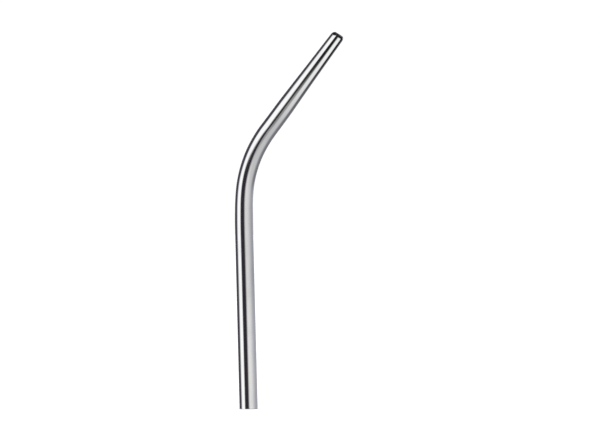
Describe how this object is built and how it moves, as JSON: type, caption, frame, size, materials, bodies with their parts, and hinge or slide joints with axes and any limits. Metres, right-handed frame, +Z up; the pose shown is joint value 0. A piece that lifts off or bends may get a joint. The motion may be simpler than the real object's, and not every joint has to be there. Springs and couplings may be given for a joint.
{
  "type": "saliva ejector tip",
  "caption": "Bent suction tube of polished steel with a plain hose end, a tapered nozzle and a rounded open nose, for drawing saliva away.",
  "frame": {"origin": "centre of the hose end's face, on the shank's axis", "axes": "+Z up the straight shank, away from the hose; +X the way the tip leans; the bend lies in the XZ plane"},
  "size_m": [0.0405, 0.0066, 0.1341],
  "materials": {
    "tube_steel": "polished",
    "nozzle_steel": "polished"
  },
  "bodies": {
    "root": {"shank_tube": "tube_steel", "bent_neck": "tube_steel", "taper_nozzle": "nozzle_steel"}
  },
  "joints": []
}
